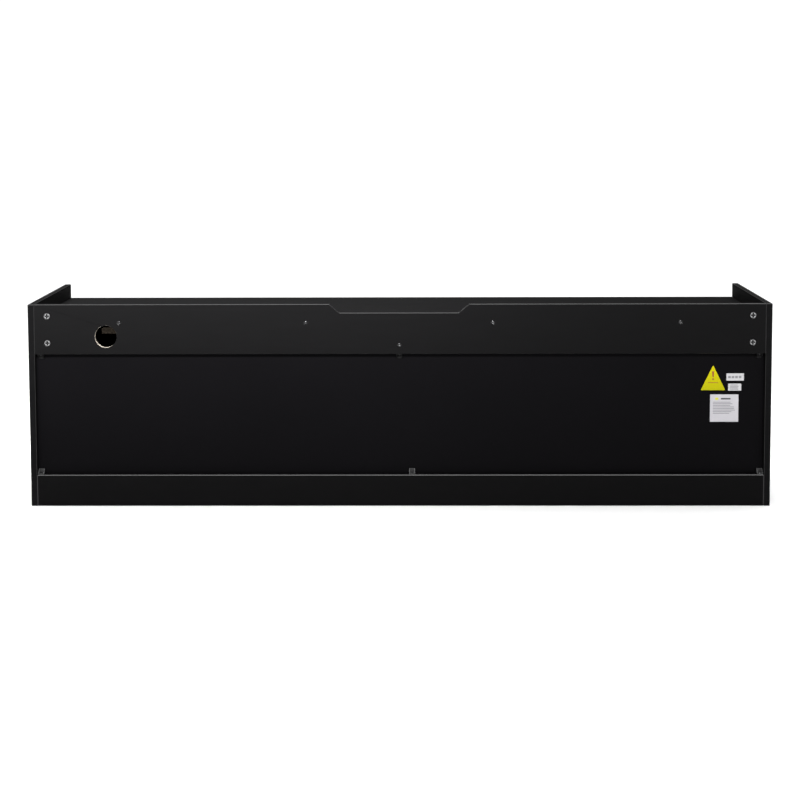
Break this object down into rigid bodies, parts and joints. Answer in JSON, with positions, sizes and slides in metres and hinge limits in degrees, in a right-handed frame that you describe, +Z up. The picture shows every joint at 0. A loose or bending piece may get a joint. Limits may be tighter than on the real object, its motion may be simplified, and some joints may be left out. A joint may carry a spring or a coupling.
{
  "type": "electric fireplace",
  "caption": "Low black media console on closed plinths, with a built-in electric fireplace, smoked glass side doors, an open niche and cable openings in the rear rail.",
  "frame": {"origin": "on the floor, under the middle of the console", "axes": "+Z up, the front with the doors and the fireplace faces -Y, the rear faces +Y, +X to the right seen from the front"},
  "size_m": [1.78, 0.4, 0.49],
  "materials": {
    "laminate": "particleboard with a black satin laminate",
    "hardboard": "thin hardboard, painted black",
    "zinc": "die-cast zinc, satin",
    "grey_plastic": "moulded, matt",
    "yellow_label": "printed film",
    "white_label": "printed film",
    "smoked_glass": "smoked, polished edges",
    "satin_metal": "satin nickel plate",
    "black_steel": "black powder coat",
    "black_plastic": "moulded, fine texture",
    "clear_glass": "tempered, lightly tinted",
    "circuit_board": "green solder mask",
    "sheet_steel": "bare galvanised sheet",
    "heating_ceramic": "ribbed heating element",
    "fan_aluminium": "bare, bright",
    "screen_plastic": "grey diffusing screen",
    "ember_resin": "moulded ember bed, lit from below",
    "log_ceramic": "cast logs, charred bark"
  },
  "bodies": {
    "console": {"side_panel_left": "laminate", "side_panel_right": "laminate", "top_board": "laminate", "bottom_board": "laminate", "divider_left": "laminate", "divider_right": "laminate", "niche_post": "laminate", "centre_shelf": "laminate", "side_shelf_left": "laminate", "side_shelf_right": "laminate", "front_plinth": "laminate", "rear_plinth": "laminate", "rear_top_rail": "laminate", "back_panel": "hardboard", "cam_lock_left_lower": "zinc", "cam_lock_left_upper": "zinc", "cam_lock_right_lower": "zinc", "cam_lock_right_upper": "zinc", "panel_clip_lower_left": "grey_plastic", "panel_clip_lower_middle": "grey_plastic", "panel_clip_lower_right": "grey_plastic", "panel_clip_upper_left": "grey_plastic", "panel_clip_upper_middle": "grey_plastic", "panel_clip_upper_right": "grey_plastic", "label_triangle": "yellow_label", "label_strip": "white_label", "label_small": "white_label", "label_square": "white_label", "door_catch_left": "grey_plastic", "door_catch_right": "grey_plastic", "case_shell": "black_steel", "firebox_ceiling": "black_steel", "cord_gland": "black_plastic", "front_glass": "clear_glass", "fascia_strip": "black_steel", "outlet_louvre": "black_steel", "control_board": "circuit_board", "heater_duct": "sheet_steel", "heater_element": "heating_ceramic", "blower_motor": "sheet_steel", "flame_screen": "screen_plastic", "ember_bed": "ember_resin", "log_set": "log_ceramic", "spindle_motor": "sheet_steel", "spindle_bush": "grey_plastic", "flame_led_board": "circuit_board", "ember_led_board": "circuit_board"},
    "door_left": {"door_glass_left": "smoked_glass", "door_hinge_left_upper": "satin_metal", "door_hinge_left_lower": "satin_metal", "door_handle_left": "satin_metal"},
    "door_right": {"door_glass_right": "smoked_glass", "door_hinge_right_upper": "satin_metal", "door_hinge_right_lower": "satin_metal", "door_handle_right": "satin_metal"},
    "spindle": {"flame_spindle": "fan_aluminium"},
    "impeller": {"blower_impeller": "fan_aluminium"},
    "power_button": {"button_power": "black_plastic"},
    "flame_button": {"button_flame": "black_plastic"},
    "heat_button": {"button_heat": "black_plastic"}
  },
  "joints": [
    {"name": "door_left_hinge", "type": "hinge", "parent": "console", "child": "door_left", "pos_m": [-0.866, -0.187, 0.257], "axis": [0, 0, -1], "range_deg": [0, 100]},
    {"name": "door_right_hinge", "type": "hinge", "parent": "console", "child": "door_right", "pos_m": [0.866, -0.187, 0.257], "axis": [0, 0, 1], "range_deg": [0, 100]},
    {"name": "spindle_spin", "type": "hinge", "parent": "console", "child": "spindle", "pos_m": [0, -0.06, 0.118], "axis": [1, 0, 0], "continuous": true},
    {"name": "impeller_spin", "type": "hinge", "parent": "console", "child": "impeller", "pos_m": [0, -0.1, 0.322], "axis": [1, 0, 0], "continuous": true},
    {"name": "power_press", "type": "slide", "parent": "console", "child": "power_button", "axis": [0, 1, 0], "range_m": [0, 0.0012], "stiffness_N_per_m": 400, "springref_m": -0.0015},
    {"name": "flame_press", "type": "slide", "parent": "console", "child": "flame_button", "axis": [0, 1, 0], "range_m": [0, 0.0012], "stiffness_N_per_m": 400, "springref_m": -0.0015},
    {"name": "heat_press", "type": "slide", "parent": "console", "child": "heat_button", "axis": [0, 1, 0], "range_m": [0, 0.0012], "stiffness_N_per_m": 400, "springref_m": -0.0015}
  ]
}
